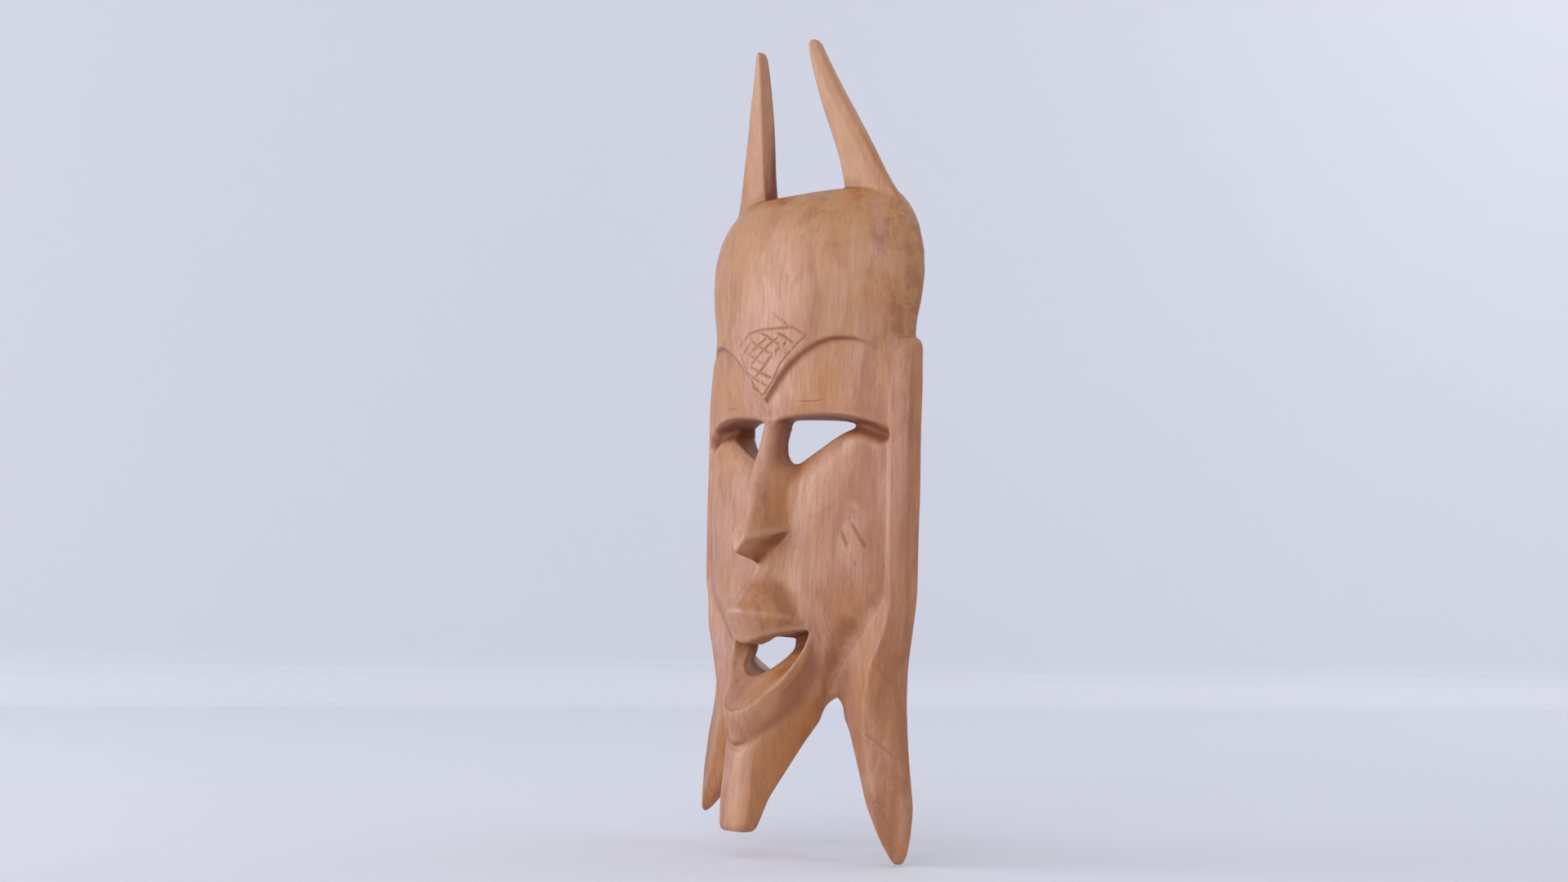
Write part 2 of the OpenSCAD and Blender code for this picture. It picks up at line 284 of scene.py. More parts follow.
# nose: height, depth of the ridge, half width of its flat, half width at the wings
NOSE = [
    (150, 61.5, 6.6, 21), (166, 61.2, 6.4, 20.5), (176, 58.6, 5.8, 19), (183, 56, 5.0, 16.5),
    (190, 54, 4.3, 14.5), (197, 51.5, 3.8, 14.5), (207, 48.5, 3.2, 15.5), (216, 45.5, 2.8, 15),
    (226, 42.5, 2.3, 12), (233, 41, 2.0, 9.5), (236, 40, 2.0, 8), (240, 36, 2.0, 7),
]
NOSE_TIP_Z = 158.5


def nose_front(x, z, base):
    """A wedge with a flat ridge; its underside is one plane that rises to the wings."""
    a = np.abs(x)
    ridge, flat, wing = (along(NOSE, i, z, 1.5) for i in (1, 2, 3))
    share = np.clip((a - flat) / (wing - flat), -0.4, 1)
    foot = np.minimum(base, ridge) - 1.2
    side = smooth_min(ridge - (ridge - foot) * (0.80 * share + 0.20 * share ** 3), ridge, 1.6)
    cut = NOSE_TIP_Z + 1.05 * np.maximum(a - 1, 0)
    underside = base + (z - cut) * 3.6
    shown = (a < wing + 1) & (z < 241)
    wedge = smooth_min(side, underside, 1.2)
    return np.where(shown, smooth_max(base, wedge, 1.5 * ramp(158, 166, z) + 0.2), base)


# upper lip: distance from the middle, depth and height of its crest, height of its foot
UPPER_LIP = [(0, 61, 132, 113.5), (6, 60.3, 131.5, 114.5), (12, 57.2, 130.5, 117),
             (18, 50.5, 130, 119.5), (24, 42, 129, 121), (28, 34, 127, 121.5), (31, 26, 125, 121)]
# lower lip: distance from the middle, height and depth of the edge where the bowl begins
LIP_EDGE = [(0, 78, 61.5), (8, 80.5, 58.5), (15, 86, 53.5), (21.5, 92, 47.5), (26.7, 103.5, 41),
            (28.5, 112, 36.5), (29.3, 121, 33), (31.5, 126, 31)]
# and distance from the middle and height of its outer foot
LIP_FOOT = [(0, 59.5), (5, 60.5), (14, 68.5), (19.5, 78), (23, 87.5), (27, 98.5), (30, 109),
            (31.5, 119)]


def upper_lip_front(x, z):
    """A beak: a plane down to the crest, and another tucked back below it."""
    a = np.abs(x)
    crest, crest_z, foot_z = (along(UPPER_LIP, i, a, 0.8) for i in (1, 2, 3))
    above = crest - (z - crest_z) * (0.82 + 0.012 * a)
    hump = 1.6 * np.exp(-((z - crest_z - 9) / 6) ** 2) * np.exp(-(a / 9) ** 2)
    below = crest - (crest_z - z) * (0.42 + 0.010 * a)
    lip = smooth_min(above + hump, below, 2.4)
    return np.where(z > foot_z, np.where(a < 31, lip, 0), 0)


def lower_lip_front(x, z, base):
    """The U-shaped rim with a fold outside it, and the bowl down to the open mouth."""
    a = np.abs(x)
    crest_z, crest = (along(LIP_EDGE, i, a, 0.8) for i in (1, 2))
    foot_z = along(LIP_FOOT, 1, a, 0.8)
    to_foot = line_distance(a, z, LIP_FOOT)
    to_crest = line_distance(a, z, [row[:2] for row in LIP_EDGE])
    fade = 1 - ramp(108, 122, z)
    groove = base - 1.5 * fade * np.exp(-(to_foot / 2.6) ** 2)
    groove = groove + 2.0 * fade * ramp(60, 70, z) * np.exp(-((to_foot - 6.5) / 3.6) ** 2)
    roll = crest - (0.012 + 0.038 * ramp(2, 14, a)) * to_crest ** 2
    wall = base - 1.5 * fade + 2.0 * to_foot
    rim = smooth_max(smooth_min(roll, wall, 3.5), groove, 1.2)
    bowl = smooth_min(np.maximum(crest - 0.95 * (z - crest_z), 31.5 - x * x / 90), crest, 6.0)
    lip = np.where(z > crest_z, bowl, rim)
    within = (z > foot_z) & (a < 31.5) & (z < 122)
    return np.where(within, lip, np.where(z < 122, groove, base))


def eye_distance(x, z):
    """Signed distance to the outline of the eye on that side of the face."""
    return np.where(x > 0, outline_distance(x, z, rounded(EYES[1])),
                    outline_distance(-x, z, rounded(EYES[-1])))


def carved_front(x, z):
    """Depth of the carved front over the whole face."""
    base = shell_front(x, z)
    eye_gap = eye_distance(x, z)

    # the brow's flat sits back from the skull along the arches
    below_arch = 1 - ramp(-2.6, 1.4, z - arch_z(x))
    arch_fade = 1 - 0.75 * ramp(50, 72, np.abs(x))
    cut = base - 3.3 * below_arch * ramp(225, 240, z) * arch_fade

    # sockets hollowed around the eyes, under the brow's overhang, whose underside slants
    corner = line_distance(np.abs(x), z, [(46, 235), (56, 233), (67, 228.5)])
    hollow = 7.5 * np.exp(-(np.maximum(eye_gap, 0) / 8.5) ** 1.6) + 6 * np.exp(-(corner / 4) ** 2)
    under_brow = np.clip((brow_z(x) + 0.3 - z) / 2.8, 0, 1)
    cut = cut - hollow * under_brow

    # the groove between nose and lip is filled on the centre line
    cut = cut + 5.0 * np.exp(-(x / 9) ** 2) * ramp(140, 151, z) * (1 - ramp(163, 170, z))

    front = lower_lip_front(x, z, cut)
    front = smooth_max(front, upper_lip_front(x, z), 5.0)
    return nose_front(x, z, front)


def hollow_depth(x, z):
    """Depth of the gouged hollow, none outside its outline."""
    half, deep, roundness = (along(HOLLOW, i, z, 2) for i in (1, 2, 3))
    share = np.clip(np.abs(x) / half, 0, 1)
    gouge = np.sin(x / 4.6 + 2.2 * wander(x, z, 11, 90, 60)) * np.sin(
        z / 9.0 + 1.7 * wander(x, z, 12, 40, 90))
    hollow = deep * (1 - share ** roundness) + 0.4 * gouge * ramp(0, 0.2, 1 - share)
    return np.where((z > HOLLOW[0][0]) & (z < HOLLOW[-1][0]), hollow, 0)


def shell_back(x, z, front):
    """Depth of the back: the flat rim, the undercut behind the chin, and the hollow."""
    limit = blur_2d(lowest(front, round(2.4 / VOXEL)), 1.5 / VOXEL) - THINNEST
    hollow = smooth_min(hollow_depth(x, z), limit, 2)
    return np.maximum(along(SHELL, 4, z, 2), hollow)


def shell_field(x, d, z, front, back):
    """The block between its front and back, and inside its outline."""
    slope_f = 1 / np.sqrt(1 + np.gradient(front, VOXEL, axis=0) ** 2
                          + np.gradient(front, VOXEL, axis=1) ** 2)
    slope_b = 1 / np.sqrt(1 + np.gradient(back, VOXEL, axis=0) ** 2
                          + np.gradient(back, VOXEL, axis=1) ** 2)
    half = along(SHELL, 1, z[0], 2)[None, :]
    lean = 1 / np.sqrt(1 + np.gradient(half[0], VOXEL) ** 2)[None, :]
    side = (np.abs(x) - half) * lean
    ends = np.maximum(CHIN_Z - z, z - CROWN_Z)
    outline = smooth_max(side, ends, 5.0)
    field = smooth_max((d - front[:, None, :]) * slope_f[:, None, :], outline[:, None, :], 3.0)
    return smooth_max(field, (back[:, None, :] - d) * slope_b[:, None, :], 1.6)


def lappet_field(x, d, z, rows, shorter):
    """One ear strip and lappet, on the +x side, and the depth of its front."""
    drop = APEX_Z / (APEX_Z - shorter)
    high = np.where(z > APEX_Z, z, APEX_Z - (APEX_Z - z) * drop)
    inner, ridge, outer, d_in, d_ridge, d_out = (along(rows, i, high, 3) for i in range(1, 7))
    to_ridge = np.clip((x - inner) / np.maximum(ridge - inner, 1), 0, 1)
    past_ridge = np.clip((x - ridge) / np.maximum(outer - ridge, 1), 0, 1)
    front = np.where(x < ridge, d_in + (d_ridge - d_in) * to_ridge,
                     d_ridge + (d_out - d_ridge) * past_ridge)
    front = blur_2d(front, 0.7 / VOXEL)
    slope = 1 / np.sqrt(1 + np.gradient(front, VOXEL, axis=0) ** 2
                        + np.gradient(front, VOXEL, axis=1) ** 2)
    lean_in = 1 / np.sqrt(1 + np.gradient(inner[0], VOXEL) ** 2)[None, :]
    across = smooth_max((inner - x) * lean_in, x - outer, 3.0)
    ends = np.maximum(-high, z - EAR_TOP_Z)
    outline = smooth_max(across, ends, 7.0)
    field = smooth_max((d - front[:, None, :]) * slope[:, None, :], outline[:, None, :], 3.2)
    back = (8 if shorter else 2) * (1 - ramp(0, 36, high))
    return smooth_max(field, back[:, None, :] - d, 1.6), front


def horn_field(x, d, z):
    """One horn, on the +x side, with its outer front edge bevelled."""
    inner, outer, f_in, f_out, back = (along(HORN, i, z, 5) for i in range(1, 6))
    share = np.clip((x - inner) / np.maximum(outer - inner, 1), 0, 1)
    front = f_in + (f_out - f_in) * share
    lean = 1 / np.sqrt(1 + np.gradient(outer[0], VOXEL) ** 2)[None, :]
    rise = 0.93
    across = smooth_max((inner - x), (x - outer) * lean, 2.0)
    across = smooth_max(across, z - TOP_Z, 4.5)
    faces = smooth_max((d - front[:, None, :]) * rise, (back[:, None, :] - d) * rise, 1.5)
    field = smooth_max(faces, across[:, None, :], 2.2)
    bevel = ((d - front[:, None, :]) * 0.8 + ((x - outer) * lean)[:, None, :] * 0.6 + 2.4)
    field = smooth_max(field, bevel, 1.4)
    return smooth_max(field, (HORN_FOOT_Z - z)[:, None, :], 1.0)


# ---------------------------------------------------------------- from field to mesh

CORNERS = [(i, j, k) for i in (0, 1) for j in (0, 1) for k in (0, 1)]
EDGES = [(a, b) for a in range(8) for b in range(a + 1, 8)
         if sum(abs(p - q) for p, q in zip(CORNERS[a], CORNERS[b])) == 1]


def surface_net(field, origin, step):
    """Points and quads of the surface where the field is zero, one point in each mixed cell."""
    inside = field < 0
    count = np.zeros([n - 1 for n in field.shape], np.uint8)
    for i, j, k in CORNERS:
        count += inside[i:i + count.shape[0], j:j + count.shape[1], k:k + count.shape[2]]
    active = (count > 0) & (count < 8)
    cells = np.argwhere(active)
    index = np.full(active.shape, -1, np.int64)
    index[active] = np.arange(len(cells))
    values = np.stack([field[cells[:, 0] + i, cells[:, 1] + j, cells[:, 2] + k]
                       for i, j, k in CORNERS], 1)
    total = np.zeros((len(cells), 3))
    crossings = np.zeros(len(cells))
    for a, b in EDGES:
        va, vb = values[:, a], values[:, b]
        crossed = (va < 0) != (vb < 0)
        t = np.where(crossed, va / np.where(crossed, va - vb, 1), 0)
        start, end = np.array(CORNERS[a], float), np.array(CORNERS[b], float)
        total += crossed[:, None] * (start + t[:, None] * (end - start))
        crossings += crossed
    points = origin + step * (cells + total / crossings[:, None])
    quads = []
    for axis in range(3):
        u, v = (axis + 1) % 3, (axis + 2) % 3
        near = [slice(None)] * 3
        far = [slice(None)] * 3
        near[axis], far[axis] = slice(0, -1), slice(1, None)
        low, high = inside[tuple(near)], inside[tuple(far)]
        at = np.argwhere(low != high)
        keep = (at[:, u] > 0) & (at[:, v] > 0)
        keep &= (at[:, u] < active.shape[u]) & (at[:, v] < active.shape[v])
        at = at[keep]
        back_u = at.copy()
        back_u[:, u] -= 1
        back_v = at.copy()
        back_v[:, v] -= 1
        back_uv = back_u.copy()
        back_uv[:, v] -= 1
        ring = np.stack([index[tuple(c.T)] for c in (back_uv, back_v, at, back_u)], 1)
        outward = low[tuple(at.T)]
        quads.append(np.where(outward[:, None], ring, ring[:, ::-1]))
    return points, np.concatenate(quads)


def wood_field():
    """The whole carving as a field on a grid, the grid's origin, and the depth of its front."""
    xs = np.arange(-84, 84 + VOXEL / 2, VOXEL)
    ds = np.arange(-2.5, 64, VOXEL)
    zs = np.arange(-3, TOP_Z + 4, VOXEL)
    x, z = np.meshgrid(xs, zs, indexing="ij")
    x = x + 0.45 * wander(x, z, 3, 120, 150)
    z_bent = z + 0.35 * wander(x, z, 4, 90, 120)
    front = carved_front(x, z_bent)
    front = blur_2d(front, 0.55 / VOXEL) + 0.22 * wander(x, z, 5, 45, 60)
    back = blur_2d(shell_back(x, z, front), 1.2 / VOXEL)
    d = ds[None, :, None].astype(np.float32)
    front, back = front.astype(np.float32), back.astype(np.float32)
    solid = shell_field(x, d, z, front, back).astype(np.float32)
    blend = (2.2 + 3.6 * (1 - ramp(125, 155, zs)))[None, None, :].astype(np.float32)
    for side, shorter in ((1, 0.0), (-1, LEFT_SHORTER)):
        ears, ear_front = lappet_field(side * x, d, z, LAPPETS[side], shorter)
        scooped = np.minimum(hollow_depth(x, z), np.maximum(front, ear_front) - THINNEST)
        ears = smooth_max(ears, scooped[:, None, :] - d, 1.6)
        solid = smooth_min(solid, ears.astype(np.float32), blend)
    for side in (1, -1):
        solid = smooth_min(solid, horn_field(side * x, d, z).astype(np.float32), 1.2)
    # towards its outer corner an eye is cut less deep, into the thick of the rim
    gap = eye_distance(x, z)
    spared = 10 * ramp(42, 51, np.abs(x))
    hole = smooth_max(gap[:, None, :], spared[:, None, :] - d, 1.0)
    solid = smooth_max(solid, -hole.astype(np.float32), 1.5)
    # the gap beside the chin ends in a round
    gap = np.hypot(np.abs(x) - GAP_END[0], z - GAP_END[1]) - GAP_END[2]
    solid = smooth_max(solid, -gap[:, None, :].astype(np.float32), 4.5)
    # the mouth is cut through, but not out into the beak above it
    gap = outline_distance(x, z, rounded(MOUTH))
    reach = 62 - 21 * ramp(108, 114, z)
    hole = np.maximum(gap[:, None, :], d - reach[:, None, :])
    solid = smooth_max(solid, -hole.astype(np.float32), 1.5)
    return solid, np.array([xs[0], ds[0], zs[0]]), front


def cut_depth(x, z):
    """How deep the knife cuts go at each place of the front."""
    depth = np.zeros(len(x))
    for points, half, deepest in CUTS:
        p = np.array(points, float)
        near = (x > p[:, 0].min() - half) & (x < p[:, 0].max() + half)
        near &= (z > p[:, 1].min() - half) & (z < p[:, 1].max() + half)
        which = np.nonzero(near)[0]
        gap = line_distance(x[which], z[which], points)
        ends = np.minimum(np.hypot(x[which] - p[0, 0], z[which] - p[0, 1]),
                          np.hypot(x[which] - p[-1, 0], z[which] - p[-1, 1]))
        stroke = deepest * (0.3 + 0.7 * ramp(0, 4, ends))
        depth[which] = np.maximum(depth[which], stroke * np.clip(1 - gap / half, 0, 1))
    return depth


def engrave(obj):
    """Refines the mesh along the knife cuts and presses them in.

    Gives the points, their normals from before the cuts, and how deep each was pressed.
    """
    reach = 1.6
    bm = bmesh.new()
    bm.from_mesh(obj.data)
    for longest in (0.7, 0.5, 0.35):
        places = np.array([v.co for v in bm.verts]) / MM
        front = np.array([v.normal.y for v in bm.verts]) < -0.2
        front &= places[:, 1] < RIM_Y - 4
        near = np.zeros(len(places), bool)
        for points, half, _ in CUTS:
            p = np.array(points, float)
            box = front & (places[:, 0] > p[:, 0].min() - reach) & (
                places[:, 0] < p[:, 0].max() + reach)
            box &= (places[:, 2] > p[:, 1].min() - reach) & (places[:, 2] < p[:, 1].max() + reach)
            which = np.nonzero(box)[0]
            near[which] |= line_distance(places[which, 0], places[which, 2], points) < half + 0.5
        bm.verts.ensure_lookup_table()
        edges = [e for e in bm.edges if (near[e.verts[0].index] or near[e.verts[1].index])
                 and e.calc_length() > longest * MM]
        bmesh.ops.subdivide_edges(bm, edges=edges, cuts=1)
        bmesh.ops.triangulate(bm, faces=[f for f in bm.faces if len(f.verts) > 3])
        bm.verts.index_update()
        bm.normal_update()
    bm.to_mesh(obj.data)
    bm.free()
    count = len(obj.data.vertices)
    places, normals = np.zeros(3 * count), np.zeros(3 * count)
    obj.data.vertices.foreach_get("co", places)
    obj.data.vertices.foreach_get("normal", normals)
    places, normals = places.reshape(-1, 3), normals.reshape(-1, 3)
    depth = cut_depth(places[:, 0] / MM, places[:, 2] / MM)
    depth *= (normals[:, 1] < -0.2) & (places[:, 1] < (RIM_Y - 4) * MM)
    places -= normals * (depth * MM)[:, None]
    obj.data.vertices.foreach_set("co", places.ravel())
    obj.data.update()
    return places / MM, normals, depth


def sample(grid, origin, x, z):
    """Values of an x-z grid at scattered places."""
    i = np.clip((x - origin[0]) / VOXEL, 0, grid.shape[0] - 1.001)
    j = np.clip((z - origin[2]) / VOXEL, 0, grid.shape[1] - 1.001)
    i0, j0 = i.astype(int), j.astype(int)
    a, b = i - i0, j - j0
    return ((grid[i0, j0] * (1 - a) + grid[i0 + 1, j0] * a) * (1 - b)
            + (grid[i0, j0 + 1] * (1 - a) + grid[i0 + 1, j0 + 1] * a) * b)


def paint_light_shade_and_wear(obj, places, normals, cuts, front, origin):
    """Writes the painted shade, the rubbed edges, the painted light and the raw hollow at each point
    of the wood.
    """
    x, d, z = places[:, 0], RIM_Y - places[:, 1], places[:, 2]
    inside = 1 - ramp(-12, -5, np.abs(x) - along(SHELL, 1, z, 3))
    outward = 1 - ramp(0.1, 0.5, normals[:, 1])
    # painted shade: points sunk below their surroundings, facing down, near the eyes' rims and under
    # the brow at their outer corners, in the lip's crease and in the knife cuts are darkened in
    # colour
    around = sample(blur_2d(front, 4.5 / VOXEL), origin, x, z)
    sunk = np.clip((around - d - 0.5) / 4.5, 0, 1) * inside * outward
    sunk *= 1 - 0.8 * ramp(150, 158, z) * (1 - ramp(196, 206, z))
    under = 0.8 * ramp(0.35, 0.75, -normals[:, 2]) * inside * outward * ramp(112, 118, z)
    corner = line_distance(np.abs(x), z, [(42, 234), (56, 232.5), (67, 228)])
    eye_rim_shade = 0.55 * np.exp(-(np.maximum(eye_distance(x, z), 0) / 4.0) ** 2)
    eye_rim_shade = np.maximum(eye_rim_shade, 0.95 * np.exp(-(corner / 4.2) ** 2)) * outward * (z < brow_z(x) + 2)
    crease = 0.45 * np.exp(-(line_distance(np.abs(x), z, LIP_FOOT) / 2.4) ** 2) * outward
    crease *= ramp(56, 62, z) * (1 - ramp(104, 116, z)) * (d > 24)
    parts = (sunk, under, eye_rim_shade, crease)
    painted_shade = np.clip(np.maximum.reduce(parts) + 0.55 * cuts, 0, 1)
    near = sample(blur_2d(front, 2.0 / VOXEL), origin, x, z)
    edge = np.clip((d - near - 0.15) / 0.9, 0, 1) * inside * outward
    # painted light and sheen: the surfaces facing the front and the ear strips' ridges are lit most,
    # the lappets' sides least
    painted_light = ramp(0.40, 0.92, -normals[:, 1])
    ridge = ramp(66, 70, np.abs(x)) * ramp(105, 120, z) * (1 - ramp(278, 290, z))
    painted_light = np.maximum(painted_light, ridge * ramp(0.15, 0.45, -normals[:, 1]))
    painted_light *= 1 - 0.7 * ramp(60, 66, np.abs(x)) * (1 - ramp(95, 112, z))
    # the hollow was never waxed
    raw = ramp(0.0, 0.5, normals[:, 1]) * (1 - ramp(-6, -2, np.abs(x) - along(SHELL, 1, z, 3)))
    layers = {"painted_shade": painted_shade, "edge": edge, "painted_light": painted_light, "raw": raw}
    for name, values in layers.items():
        layer = obj.data.attributes.new(name, "FLOAT", "POINT")
        layer.data.foreach_set("value", values.astype(np.float32))


def carve_wood():
    """The wooden piece: the field's surface, thinned, with its cuts, its rubbed edges and its painted
    light and shade.
    """
    field, origin, front = wood_field()
    points, quads = surface_net(field, origin, VOXEL)
    places = np.stack([points[:, 0], RIM_Y - points[:, 1], points[:, 2]], 1) * MM
    mesh = bpy.data.meshes.new("mask_wood")
    mesh.from_pydata(places.tolist(), [], quads[:, ::-1].tolist())
    mesh.validate()
    obj = bpy.data.objects.new("mask_wood", mesh)
    bpy.context.scene.collection.objects.link(obj)
    relax = obj.modifiers.new("relax", "SMOOTH")
    relax.factor = 0.5
    relax.iterations = 2
    thin = obj.modifiers.new("thin", "DECIMATE")
    thin.ratio = min(1.0, WOOD_TRIANGLES / (2.0 * len(quads)))
    apply_modifiers(obj)
    places, normals, cuts = engrave(obj)
    paint_light_shade_and_wear(obj, places, normals, cuts, front, origin)
    obj.data.polygons.foreach_set("use_smooth", [True] * len(obj.data.polygons))
    return obj


def apply_modifiers(obj):
    """Makes the modified mesh the object's own."""
    bpy.context.view_layer.update()
    graph = bpy.context.evaluated_depsgraph_get()
    shaped = bpy.data.meshes.new_from_object(obj.evaluated_get(graph))
    obj.modifiers.clear()
    obj.data = shaped


# ---------------------------------------------------------------- materials

class Nodes:
    """A short hand for building one procedural material."""

    def __init__(self, name):
        self.material = bpy.data.materials.new(name)
        self.material.use_nodes = True
        self.tree = self.material.node_tree
        self.shader = self.tree.nodes["Principled BSDF"]
        self.place = self.add("ShaderNodeTexCoord").outputs["Object"]

    def add(self, kind, inputs=None, **settings):
        node = self.tree.nodes.new(kind)
        for key, value in settings.items():
            setattr(node, key, value)
        for key, value in (inputs or {}).items():
            self.feed(node.inputs[key], value)
        return node

    def feed(self, socket, value):
        if isinstance(value, bpy.types.NodeSocket):
            self.tree.links.new(value, socket)
        else:
            socket.default_value = value

    def stretched(self, sx, sy, sz):
        return self.add("ShaderNodeMapping", {"Vector": self.place, "Scale": (sx, sy, sz)}).outputs[0]

    def noise(self, vector, scale, detail=3.0, roughness=0.5, distortion=0.0):
        return self.add("ShaderNodeTexNoise", {
            "Vector": vector, "Scale": scale, "Detail": detail, "Roughness": roughness,
            "Distortion": distortion}).outputs["Fac"]

    def between(self, value, low, high, to_low=0.0, to_high=1.0):
        return self.add("ShaderNodeMapRange", {
            "Value": value, "From Min": low, "From Max": high, "To Min": to_low,
            "To Max": to_high}, interpolation_type="SMOOTHSTEP").outputs["Result"]

    def maths(self, operation, a, b=0.0, clamp=False):
        return self.add("ShaderNodeMath", {0: a, 1: b}, operation=operation,
                        use_clamp=clamp).outputs[0]

    def mix(self, share, a, b):
        node = self.add("ShaderNodeMix", data_type="RGBA", clamp_factor=True)
        self.feed(node.inputs[0], share)
        self.feed(node.inputs[6], a)
        self.feed(node.inputs[7], b)
        return node.outputs[2]

    def bump(self, height, strength, distance):
        return self.add("ShaderNodeBump", {"Height": height, "Strength": strength,
                                           "Distance": distance}).outputs["Normal"]

    def finish(self, colour, roughness, normal=None, **sockets):
        self.feed(self.shader.inputs["Base Color"], colour)
        self.feed(self.shader.inputs["Roughness"], roughness)
        if normal is not None:
            self.feed(self.shader.inputs["Normal"], normal)
        for name, value in sockets.items():
            self.feed(self.shader.inputs[name.replace("_", " ")], value)
        return self.material


def linear(red, green, blue):
    """A colour given as 0-255 display values, as the shader's linear one."""
    parts = [c / 255 for c in (red, green, blue)]
    return tuple(c / 12.92 if c <= 0.04045 else ((c + 0.055) / 1.055) ** 2.4 for c in parts) + (1,)


def wood_material():
    """Waxed reddish brown wood with upright grain; its painted shade, painted light, rubbed edges and
    raw hollow are led by the mesh's attributes.
    """
    n = Nodes("carved_wood")
    grain = n.noise(n.stretched(1, 1, 0.07), 620, 4, 0.6, 0.5)
    bands = n.noise(n.stretched(1, 1, 0.18), 64, 1.5, 0.5, 1.4)
    pores = n.noise(n.stretched(1, 1, 0.08), 1700, 2, 0.5)
    streaks = n.noise(n.stretched(1, 1, 0.16), 26, 2.5, 0.55, 1.3)
    specks = n.noise(n.stretched(1, 1, 0.5), 900, 2, 0.5)
    patches = n.noise(n.stretched(1, 1, 0.35), 16, 3, 0.5, 0.6)
    blotch = n.noise(n.stretched(1, 1, 0.8), 130, 5, 0.68, 0.4)
    place = n.add("ShaderNodeSeparateXYZ", {"Vector": n.place}).outputs

    # ochre brown on surfaces turned from the front, paler and pinker where they face it: painted
    # light and sheen, mixed with random mottling
    painted_light = n.add("ShaderNodeAttribute", attribute_name="painted_light").outputs["Fac"]
    mottle = n.noise(n.stretched(1, 1, 0.45), 75, 4, 0.6, 0.8)
    ochre_wood = n.mix(n.between(bands, 0.36, 0.62), linear(156, 91, 36), linear(180, 112, 48))
    pale_wood = n.mix(n.between(patches, 0.40, 0.64), linear(190, 135, 104), linear(190, 128, 72))
    share = n.maths("ADD", n.maths("MULTIPLY", painted_light, 0.80),
                    n.between(mottle, 0.35, 0.65, -0.48, 0.30), clamp=True)
    base = n.mix(share, ochre_wood, pale_wood)
    base = n.mix(n.maths("MULTIPLY", n.between(streaks, 0.50, 0.66), 0.40), base,
                 linear(150, 88, 54))
    base = n.mix(n.maths("MULTIPLY", n.between(grain, 0.42, 0.72), 0.38), base,
                 linear(138, 78, 44))
    base = n.mix(n.maths("MULTIPLY", n.between(pores, 0.60, 0.76), 0.34), base, linear(92, 50, 26))
    base = n.mix(n.maths("MULTIPLY", n.between(specks, 0.68, 0.76), 0.22), base,
                 linear(222, 182, 142))

    # the crown's edge and its right side are weathered ochre with dark flecks
    crown = n.maths("MULTIPLY", n.between(place["Z"], 0.315, 0.350),
                    n.between(place["Z"], 0.378, 0.366))
    right = n.maths("MULTIPLY", n.between(place["X"], 0.018, 0.060),
                    n.between(place["Z"], 0.262, 0.300))
    right = n.maths("MULTIPLY", right, n.between(place["Z"], 0.378, 0.366))
    worn = n.maths("MAXIMUM", crown, n.maths("MULTIPLY", right, 0.75))
    ochre = n.maths("MULTIPLY", n.between(blotch, 0.44, 0.58), worn)
    base = n.mix(n.maths("MULTIPLY", ochre, 0.75), base, linear(178, 128, 68))
    dark = n.maths("MULTIPLY", n.between(blotch, 0.60, 0.72), worn)
    base = n.mix(n.maths("MULTIPLY", dark, 0.55), base, linear(104, 62, 36))

    # painted shade: the recesses, undersides and creases are darkened to ochre and deep brown, and
    # the edges are rubbed lighter
    painted_shade = n.add("ShaderNodeAttribute", attribute_name="painted_shade").outputs["Fac"]
    edge = n.add("ShaderNodeAttribute", attribute_name="edge").outputs["Fac"]
    painted_shade_rim = n.between(painted_shade, 0.02, 0.30)
    base = n.mix(n.maths("MULTIPLY", painted_shade_rim, 0.50), base, linear(160, 96, 42))
    base = n.mix(n.maths("MULTIPLY", n.between(painted_shade, 0.12, 0.85), 0.88), base,
                 linear(122, 58, 20))
    base = n.mix(n.maths("MULTIPLY", edge, 0.35), base, linear(206, 158, 118))

    # the hollow behind is bare, darker and dull
    raw = n.add("ShaderNodeAttribute", attribute_name="raw").outputs["Fac"]
    base = n.mix(n.maths("MULTIPLY", raw, 0.75), base, linear(118, 72, 42))
    rough = n.between(grain, 0.3, 0.8, 0.40, 0.54)
    rough = n.maths("MAXIMUM", rough, n.maths("MULTIPLY", n.maths("MAXIMUM", raw, painted_shade), 0.85))
    tooth = n.maths("ADD", n.maths("MULTIPLY", grain, 0.6), n.maths("MULTIPLY", pores, 0.4))
    normal = n.bump(tooth, 0.20, 0.0005)
    return n.finish(base, rough, normal, Specular_IOR_Level=0.85, Coat_Weight=0.20,
                    Coat_Roughness=0.42)


def metal_material(name, clean, worn, scale):
    """Cast or drawn metal with clouds of tarnish."""
    n = Nodes(name)
    cloud = n.noise(n.stretched(1, 1, 1), scale, 4, 0.6)
    fine = n.noise(n.stretched(1, 6, 1), scale * 12, 2, 0.5)
    colour = n.mix(n.between(cloud, 0.42, 0.68), clean, worn)
    rough = n.between(cloud, 0.3, 0.7, 0.26, 0.46)
    return n.finish(colour, rough, n.bump(fine, 0.15, 0.0002), Metallic=1.0)


def felt_material():
    """Dark pressed felt."""
    n = Nodes("felt")
    fibre = n.noise(n.stretched(1, 1, 1), 2600, 4, 0.7, 1.5)
    colour = n.mix(n.between(fibre, 0.35, 0.65), linear(46, 40, 36), linear(88, 78, 70))
    return n.finish(colour, 0.95, n.bump(fibre, 0.7, 0.0005), Sheen_Weight=0.4)


# ---------------------------------------------------------------- camera, light and stage

def aim(obj, place, target, roll=0.0):
    """Puts a camera or lamp at a place, turned to the target."""
    forward = (Vector(target) - Vector(place)).normalized()
    right = forward.cross(Vector((0, 0, 1))).normalized()
    up = right.cross(forward)
    right, up = (right * math.cos(roll) + up * math.sin(roll),
                 up * math.cos(roll) - right * math.sin(roll))
    turn = Matrix((right, up, -forward)).transposed().to_4x4()
    obj.matrix_world = Matrix.Translation(place) @ turn


